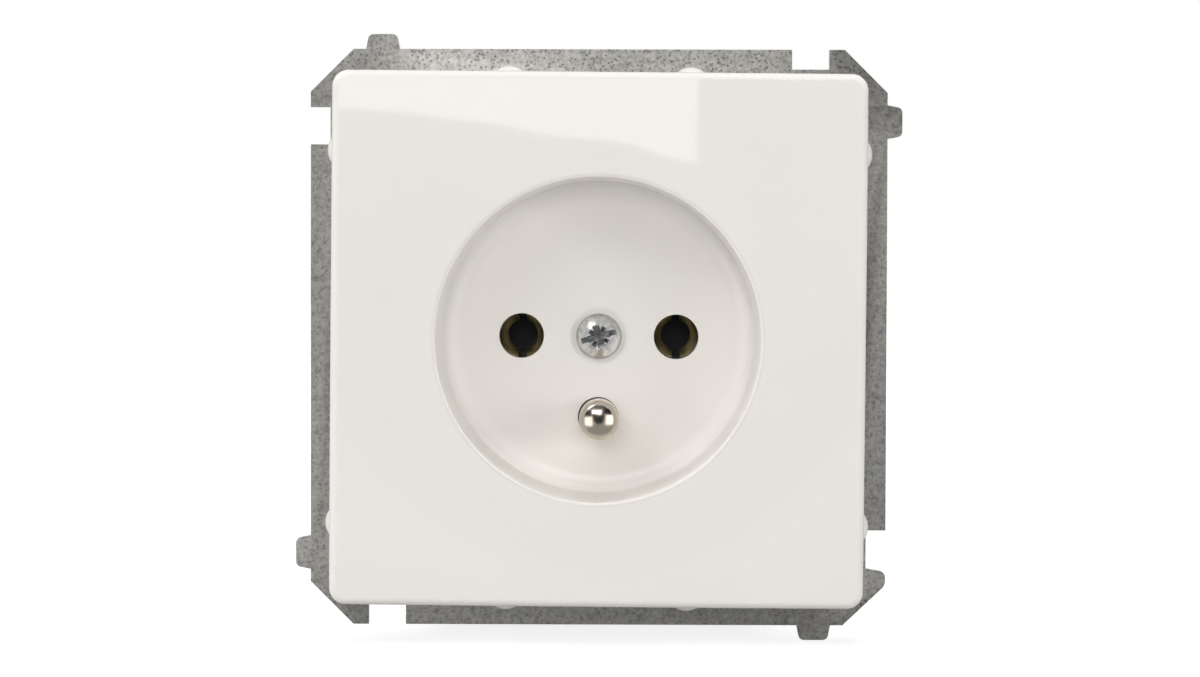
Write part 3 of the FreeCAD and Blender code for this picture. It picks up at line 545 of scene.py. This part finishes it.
def contactBrass(look):
    material, tree, shader, place = startMaterial("contactBrass")
    shader.inputs["Metallic"].default_value = look["metal"]
    stretched = addNode(tree, "Mapping", {"Vector": place, "Scale": look["streakStretch"]}).outputs[0]
    streaks = noise(tree, stretched, look["streakScale"])
    stains = noise(tree, place, look["stainScale"], detail=4.0, rough=0.6)
    tone = ramp(tree, stains, look["tones"])
    # Each mouth is painted dark, painted shade, but for two bands left and right of the pin's way in.
    parts = addNode(tree, "SeparateXYZ", {0: place})
    across = calculate(tree, "SUBTRACT", calculate(tree, "ABSOLUTE", parts.outputs[0]), look["holePlace"])
    across = calculate(tree, "DIVIDE", across, look["bandWide"])
    high = calculate(tree, "DIVIDE", parts.outputs[2], look["bandHigh"])
    ellipse = calculate(tree, "SQRT", squareSum(tree, across, high))
    off = calculate(tree, "ABSOLUTE", calculate(tree, "SUBTRACT", ellipse, 1.0))
    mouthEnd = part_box("contact_left")[0].y + look["mouthLength"]
    paintedShade = calculate(tree, "MULTIPLY", spread(tree, off, *look["bandEdge"]),
                      calculate(tree, "LESS_THAN", parts.outputs[1], mouthEnd))
    paint(tree, shader, mixColour(tree, paintedShade, tone, look["mouthShadeColour"]),
          fromNoise(tree, streaks, *look["roughness"]))
    addBump(tree, shader, streaks, look["streakHeight"], strength=0.5)
    return material


# The spring steel is painted nearly black, painted shade deep in the mouths of the contacts.
springLook = {
    "tones": ((0.35, (0.06, 0.06, 0.058)), (0.6, (0.11, 0.108, 0.10))),
    "roughness": (0.48, 0.38),
    "mottleScale": 900.0,
    "grainScale": 2000.0,
    "grainHeight": 0.00001,
}


def springSteelPaintedDark(look):
    material, tree, shader, place = startMaterial("springSteelPaintedDark")
    shader.inputs["Metallic"].default_value = 1.0
    mottle = noise(tree, place, look["mottleScale"], detail=4.0, rough=0.6)
    paint(tree, shader, ramp(tree, mottle, look["tones"]), fromNoise(tree, mottle, *look["roughness"]))
    addBump(tree, shader, noise(tree, place, look["grainScale"]), look["grainHeight"], strength=0.5)
    return material


pinLook = {
    "tones": ((0.35, (0.71, 0.63, 0.53)), (0.6, (0.79, 0.71, 0.61))),
    "cloudScale": 240.0,
    "roughness": (0.07, 0.15),
    "turnedScale": 3800.0,
    "turnedStretch": (0.15, 1.0, 0.15),    # fine rings round the pin
    "turnedHeight": 0.000003,
}


def platedBrass(look):
    material, tree, shader, place = startMaterial("platedBrass")
    shader.inputs["Metallic"].default_value = 1.0
    rings = addNode(tree, "Mapping", {"Vector": place, "Scale": look["turnedStretch"]}).outputs[0]
    turned = noise(tree, rings, look["turnedScale"])
    cloud = noise(tree, place, look["cloudScale"], detail=3.0)
    paint(tree, shader, ramp(tree, cloud, look["tones"]), fromNoise(tree, turned, *look["roughness"]))
    addBump(tree, shader, turned, look["turnedHeight"], strength=0.4)
    return material


finishes = {
    "cover_plastic": coverPlastic(coverLook),
    "galvanised_sheet": galvanisedSheet(sheetLook),
    "zinc_screw": zincScrew(screwLook),
    "base_plastic": basePlastic(baseLook),
    "contact_brass": contactBrass(brassLook),
    "spring_steel": springSteelPaintedDark(springLook),
    "plated_brass": platedBrass(pinLook),
}


def finishNode(name, slotName):
    piece = nodes[name]
    piece.data.materials.clear()
    piece.data.materials.append(finishes[slotName])


for subpart in frame["record"]["subparts"]:
    finishNode(subpart["node"], subpart["material_slot"])
print("materials set")


def showShape(shape, name, slotName, sharpAngle=35.0):
    # Turns a bmesh into a piece of the object, smooth except at its sharp edges.
    piece = makeObject(shape, name)
    piece.data.shade_smooth()
    piece.data.set_sharp_from_angle(angle=math.radians(sharpAngle))
    piece.data.materials.append(finishes[slotName])
    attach(piece, "root")
    return piece


def copyNode(name, whole):
    # A merged copy of a node's mesh; whole joins the triangles of its flat faces.
    shape = bmesh.new()
    shape.from_mesh(nodes[name].data)
    bmesh.ops.remove_doubles(shape, verts=shape.verts, dist=0.000001)
    if whole:
        bmesh.ops.dissolve_limit(shape, angle_limit=math.radians(1.0),
                                 verts=shape.verts, edges=shape.edges)
    return shape


def spinProfile(points, steps=72):
    # points: (radius, depth) pairs, turned about the Y axis
    shape = bmesh.new()
    line = [shape.verts.new((radius, deep, 0.0)) for radius, deep in points]
    edges = [shape.edges.new(pair) for pair in zip(line, line[1:])]
    bmesh.ops.spin(shape, geom=line + edges, cent=(0, 0, 0), axis=(0, 1, 0), dvec=(0, 0, 0),
                   angle=math.radians(360), steps=steps, use_merge=True)
    bmesh.ops.remove_doubles(shape, verts=shape.verts, dist=0.0000005)
    bmesh.ops.recalc_face_normals(shape, faces=shape.faces)
    return shape


def domeProfile(tip, radius, angle, steps):
    # Points from the middle of a dome's tip outwards, up to an angle.
    turns = [angle * step / steps for step in range(steps + 1)]
    return [(radius * math.sin(turn), tip + radius * (1 - math.cos(turn))) for turn in turns]


def roundArc(centre, radius, start, end, steps):
    # Points along an arc of a profile, angles in degrees from the radius axis.
    points = []
    for step in range(steps + 1):
        angle = math.radians(start + (end - start) * step / steps)
        points.append((centre[0] + radius * math.cos(angle), centre[1] + radius * math.sin(angle)))
    return points


coverShape = {
    "crownRadius": 1.05,
    "crownFront": -0.0105,     # depth of the crown's middle, before the recess is cut
    "crownRear": -0.0095,      # all of the crown lies in front of this
    "gridStep": 0.0016,
    "crownInside": 0.0197,     # the crown runs from here
    "crownOutside": 0.0311,    # to here, where the edge round begins
    "recessFloor": 0.0045,
    "wallRadii": (0.0191, 0.0195),     # at the floor round and at the rim round
    "wallDepths": (0.0021, -0.00991),
    "floorRound": 0.0024,
    "rimRound": 0.0004,
    "wallSoftness": 0.60,      # the translucent plastic evens out the shading of the wall
    "screwSeat": 0.00475,
    "seatReach": 0.0035,
    "closeTo": 0.00001,        # a point this near to a surface lies on it
    "faceTurn": 0.6,           # least cosine between a face and an exact normal that it takes
    "flatWall": 0.999,         # least cosine between a flat side wall and its axis
    "turn": 0.36,              # degrees clockwise, as it sits in the photograph
}


def crownDepth(x, z, setup):
    radius = setup["crownRadius"]
    return setup["crownFront"] + radius - math.sqrt(radius ** 2 - x ** 2 - z ** 2)


def crownFaces(shape, setup):
    return [face for face in shape.faces if face.normal.y < -0.99
            and face.calc_center_median().y < setup["crownRear"]]


def divideCrown(shape, setup):
    # Cuts the face into a fine grid, so that it shades as one smooth crown.
    count = int(2 * setup["crownOutside"] / setup["gridStep"])
    for axis in (Vector((1, 0, 0)), Vector((0, 0, 1))):
        for step in range(count + 1):
            where = -setup["crownOutside"] + step * setup["gridStep"]
            faces = crownFaces(shape, setup)
            edges = {edge for face in faces for edge in face.edges}
            verts = {vert for face in faces for vert in face.verts}
            bmesh.ops.bisect_plane(shape, geom=faces + list(edges) + list(verts),
                                   dist=2 * setup["closeTo"], plane_co=axis * where, plane_no=axis)
    for face in crownFaces(shape, setup):
        for vert in face.verts:
            vert.co.y = crownDepth(vert.co.x, vert.co.z, setup)


def recessNormal(reach, depth, setup):
    # Shares inward and along Y of the normal of the recess wall or of one of its two rounds.
    lowRadius, rimRadius = setup["wallRadii"]
    lowDepth, rimDepth = setup["wallDepths"]
    lowRound, rimRound, close = setup["floorRound"], setup["rimRound"], setup["closeTo"]
    if reach < lowRadius - lowRound + close or reach > rimRadius + rimRound - close:
        return None
    if depth > lowDepth + close:
        inward, along = reach - (lowRadius - lowRound), lowDepth - depth
        off = math.hypot(inward, along) - lowRound
    elif depth < rimDepth - close:
        inward, along = rimRadius + rimRound - reach, depth - rimDepth
        off = math.hypot(inward, along) - rimRound
    else:
        inward, along = lowDepth - rimDepth, lowRadius - rimRadius
        off = lowRadius - along * (lowDepth - depth) / inward - reach
    return (inward, along) if abs(off) < 2 * close else None


def trueNormal(co, setup):
    # The exact normal of the crown, the recess or the screw's seat, or None elsewhere.
    front, close = Vector((0, -1, 0)), setup["closeTo"]
    reach = math.hypot(co.x, co.z)
    shares = recessNormal(reach, co.y, setup)
    if shares:
        inward, along = shares
        exact = Vector((-co.x / reach * inward, along, -co.z / reach * inward)).normalized()
        return exact.lerp(front, setup["wallSoftness"]).normalized()
    onFloor = abs(co.y - setup["recessFloor"]) < close and reach < setup["wallRadii"][1]
    onSeat = abs(co.y - setup["screwSeat"]) < close and reach < setup["seatReach"]
    if onFloor or onSeat:
        return front
    if reach > setup["crownInside"] and abs(co.y - crownDepth(co.x, co.z, setup)) < close:
        return Vector((co.x / setup["crownRadius"], -1, co.z / setup["crownRadius"])).normalized()
    return None


def setNormals(mesh, setup):
    # Exact normals where the form is known, and each flat side wall's own normal on it.
    normals = [corner.vector.copy() for corner in mesh.corner_normals]
    for face in mesh.polygons:
        sideWall = max(abs(face.normal.x), abs(face.normal.z)) > setup["flatWall"]
        for corner in face.loop_indices:
            if sideWall:
                normals[corner] = face.normal.copy()
            exact = trueNormal(mesh.vertices[mesh.loops[corner].vertex_index].co, setup)
            if exact is not None and exact.dot(face.normal) > setup["faceTurn"]:
                normals[corner] = exact
    mesh.normals_split_custom_set(normals)


def makeCover(setup):
    shape = copyNode("cover_plate", False)
    divideCrown(shape, setup)
    piece = showShape(shape, "cover_moulding", "cover_plastic")
    setNormals(piece.data, setup)
    piece.data.transform(Matrix.Rotation(math.radians(setup["turn"]), 4, "Y"))
    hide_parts("cover_plate")


makeCover(coverShape)
print("cover made")


earthPinShape = {
    "height": -0.010,          # z of its axis
    "radius": 0.0024,
    "sides": 96,
    "domeRadius": 0.0072,      # the tip is nearly flat
    "domeReach": 0.00178,
    "domeSteps": 14,
    "roundSteps": 16,          # of the round between tip and side
    "middle": -0.003,          # depth of a ring of points half way along the bare part
    "floor": 0.0045,
    "shank": 0.0021,           # radius behind the recess floor
    "shankStep": 0.0001,
    "collar": 0.0032,
    "collarStep": 0.00005,
    "collarDepths": (0.0160, 0.0180),
    "stub": 0.0012,            # radius behind the collar
    "leanUp": 0.030,           # shares of its length
    "leanRight": 0.010,
}


def makeEarthPin(setup):
    low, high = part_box("earth_pin")
    tip, radius, dome = low.y, setup["radius"], setup["domeRadius"]
    reachAngle = math.asin(setup["domeReach"] / dome)
    shoulder = (radius - setup["domeReach"]) / (1 - math.sin(reachAngle))
    middle = (radius - shoulder, tip + dome * (1 - math.cos(reachAngle)) + shoulder * math.cos(reachAngle))
    floor, shank, collar = setup["floor"], setup["shank"], setup["collar"]
    collarFront, collarRear = setup["collarDepths"]
    profile = domeProfile(tip, dome, reachAngle, setup["domeSteps"])[:-1]
    profile += roundArc(middle, shoulder, math.degrees(reachAngle) - 90, 0, setup["roundSteps"])
    profile += [(radius, setup["middle"]), (radius, floor), (shank, floor + setup["shankStep"]),
                (shank, collarFront), (collar, collarFront + setup["collarStep"]),
                (collar, collarRear), (setup["stub"], collarRear), (setup["stub"], high.y), (0.0, high.y)]
    shape = spinProfile(profile, setup["sides"])
    for vert in shape.verts:
        forward = max(floor - vert.co.y, 0.0)
        vert.co.z += setup["height"] + setup["leanUp"] * forward
        vert.co.x += setup["leanRight"] * forward
    piece = showShape(shape, "pin_body", "plated_brass")
    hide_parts("earth_pin")


makeEarthPin(earthPinShape)
print("earth pin made")


strapShape = {
    "front": -0.001,
    "closeTo": 0.00001,        # a point this near to the front lies on it
    "outside": 0.029,          # edges further out than this are rolled
    "roll": 0.00032,           # left by the punch on the front edges
    "rollSteps": 4,
    "toothRound": 0.0006,      # of both corners of the tooth below the right notch
    "toothSteps": 5,
    "toothRight": 0.0349,
    "toothHeights": (-0.0300, -0.0276),
    "thickness": 0.0009,       # an edge that is deeper than this is a corner of the sheet
    "bentLeft": 0.0312,        # the lower right corner was knocked a little
    "bentWidth": 0.0038,
    "bentTop": -0.0279,
    "bentHeight": 0.0085,
    "bentMargin": 0.05,        # share of the height that moves too above its top
    "bentDrop": 0.00065,
    "bentBack": 0.0005,
    "creaseHeight": 0.0285,    # above this the plate leans back a little
    "leanBack": 0.026,
}


def isOuterEdge(edge, setup):
    # Between the front face and a side wall, outside the cover.
    if len(edge.link_faces) != 2:
        return False
    tilts = sorted(abs(face.normal.y) for face in edge.link_faces)
    if tilts[0] > 0.2 or tilts[1] < 0.99:
        return False
    ends = [vert.co for vert in edge.verts]
    return all(abs(co.y - setup["front"]) < setup["closeTo"]
               and max(abs(co.x), abs(co.z)) > setup["outside"] for co in ends)


def isToothCorner(edge, setup):
    # Through the sheet, at the tooth between the right notch and the cut corner.
    first, second = (vert.co for vert in edge.verts)
    low, high = setup["toothHeights"]
    return (abs(first.y - second.y) > setup["thickness"] and first.x > setup["toothRight"]
            and low < first.z < high)


def bendCorner(shape, setup):
    for vert in shape.verts:
        right = (vert.co.x - setup["bentLeft"]) / setup["bentWidth"]
        down = (setup["bentTop"] - vert.co.z) / setup["bentHeight"]
        if right <= 0 or down < -setup["bentMargin"] or down >= 1:
            continue
        share = min(right, 1.0) ** 1.5 * (1 - max(down, 0.0)) ** 2
        vert.co.z -= setup["bentDrop"] * share
        vert.co.y += setup["bentBack"] * share


def leanTopBack(shape, setup):
    everything = shape.verts[:] + shape.edges[:] + shape.faces[:]
    bmesh.ops.bisect_plane(shape, geom=everything, dist=setup["closeTo"],
                           plane_co=(0, 0, setup["creaseHeight"]), plane_no=(0, 0, 1))
    for vert in shape.verts:
        vert.co.y += setup["leanBack"] * max(vert.co.z - setup["creaseHeight"], 0.0)


def makeStrap(setup):
    shape = copyNode("mounting_strap", True)
    corners = [edge for edge in shape.edges if isToothCorner(edge, setup)]
    bmesh.ops.bevel(shape, geom=corners, offset=setup["toothRound"], segments=setup["toothSteps"],
                    profile=0.5, affect="EDGES", material=-1)
    rolled = [edge for edge in shape.edges if isOuterEdge(edge, setup)]
    bmesh.ops.bevel(shape, geom=rolled, offset=setup["roll"], segments=setup["rollSteps"],
                    profile=0.5, affect="EDGES", material=-1, clamp_overlap=True)
    bendCorner(shape, setup)
    leanTopBack(shape, setup)
    piece = showShape(shape, "strap_plate", "galvanised_sheet")
    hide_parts("mounting_strap")


makeStrap(strapShape)
print("strap made")


coverScrewShape = {
    "seat": 0.00475,
    "headRadius": 0.0028,
    "shoulder": 0.0009,        # height of the head's edge over the seat
    "domeInset": 0.00021,      # between the dome and the head's edge
    "domeSteps": 12,
    # of the head's edge, from front to rear: inset and depth, from its radius and its seat
    "edge": ((0.00003, -0.00078), (0.0, -0.00060), (0.0, -0.00008), (0.00008, 0.0)),
    "shank": 0.00148,
    "threadStart": 0.0005,     # behind the seat
    "threadDepth": 0.00018,
    "pitch": 0.0005,
    "tipLength": 0.0012,
    "tipInset": 0.0006,
    "lean": 16.0,              # degrees that the drive recess is turned to the left
    # a slot, a cross and a star: half length, width, depth, shares left at the bottom, turn
    "bars": ((0.00400, 0.00070, 0.00058, (1.0, 1.0), 0),
             (0.00175, 0.00098, 0.00130, (0.62, 0.8), 0),
             (0.00175, 0.00098, 0.00130, (0.62, 0.8), 90),
             (0.00185, 0.00062, 0.00062, (0.62, 0.8), 45),
             (0.00185, 0.00062, 0.00062, (0.62, 0.8), -45)),
    "barFront": 0.001,         # the bars begin this far in front of the head
    "soft": 0.00003,
    "softSteps": 2,
    "softAngle": 38,
}


def taperedBar(top, front, reach, width, depth, left, angle):
    # A bar across the head, narrower at its bottom, turned about the Y axis.
    shape = bmesh.new()
    made = bmesh.ops.create_cube(shape, size=1.0)
    for vert in made["verts"]:
        bottom = vert.co.y > 0
        lengthLeft, widthLeft = left if bottom else (1.0, 1.0)
        vert.co.x *= 2 * reach * lengthLeft
        vert.co.z *= width * widthLeft
        vert.co.y = top + depth if bottom else top - front
    turn = Matrix.Rotation(math.radians(-angle), 4, "Y")
    bmesh.ops.transform(shape, matrix=turn, verts=shape.verts)
    return shape


def cutShape(piece, cutters):
    # Cuts each cutter out of the piece, then removes the cutters.
    helpers = [makeObject(cutter, "cutter") for cutter in cutters]
    for helper in helpers:
        cut = piece.modifiers.new("cut", "BOOLEAN")
        cut.operation = "DIFFERENCE"
        cut.solver = "EXACT"
        cut.object = helper
    bpy.context.view_layer.update()
    graph = bpy.context.evaluated_depsgraph_get()
    finished = bpy.data.meshes.new_from_object(piece.evaluated_get(graph))
    piece.modifiers.clear()
    old = piece.data
    piece.data = finished
    bpy.data.meshes.remove(old)
    for helper in helpers:
        bpy.data.objects.remove(helper)


def makeCoverScrew(setup):
    low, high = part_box("cover_screw")
    top, end, seat = low.y, high.y, setup["seat"]
    radius, shank = setup["headRadius"], setup["shank"]
    rise = seat - setup["shoulder"] - top
    dome = (radius ** 2 + rise ** 2) / (2 * rise)
    reachAngle = math.asin((radius - setup["domeInset"]) / dome)
    profile = domeProfile(top, dome, reachAngle, setup["domeSteps"])
    profile += [(radius - inset, seat + depth) for inset, depth in setup["edge"]]
    profile.append((shank, seat))
    thread = seat + setup["threadStart"]
    while thread < end - setup["tipLength"]:
        profile.append((shank, thread))
        profile.append((shank - setup["threadDepth"], thread + setup["pitch"] / 2))
        thread += setup["pitch"]
    profile += [(shank, thread), (shank - setup["tipInset"], end), (0.0, end)]
    piece = showShape(spinProfile(profile), "screw_head", "zinc_screw", 30.0)
    cutters = [taperedBar(top, setup["barFront"], *sizes, setup["lean"] + turn)
               for *sizes, turn in setup["bars"]]
    cutShape(piece, cutters)
    soft = piece.modifiers.new("softEdges", "BEVEL")
    soft.width = setup["soft"]
    soft.segments = setup["softSteps"]
    soft.limit_method = "ANGLE"
    soft.angle_limit = math.radians(setup["softAngle"])
    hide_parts("cover_screw")


makeCoverScrew(coverScrewShape)
print("cover screw made")
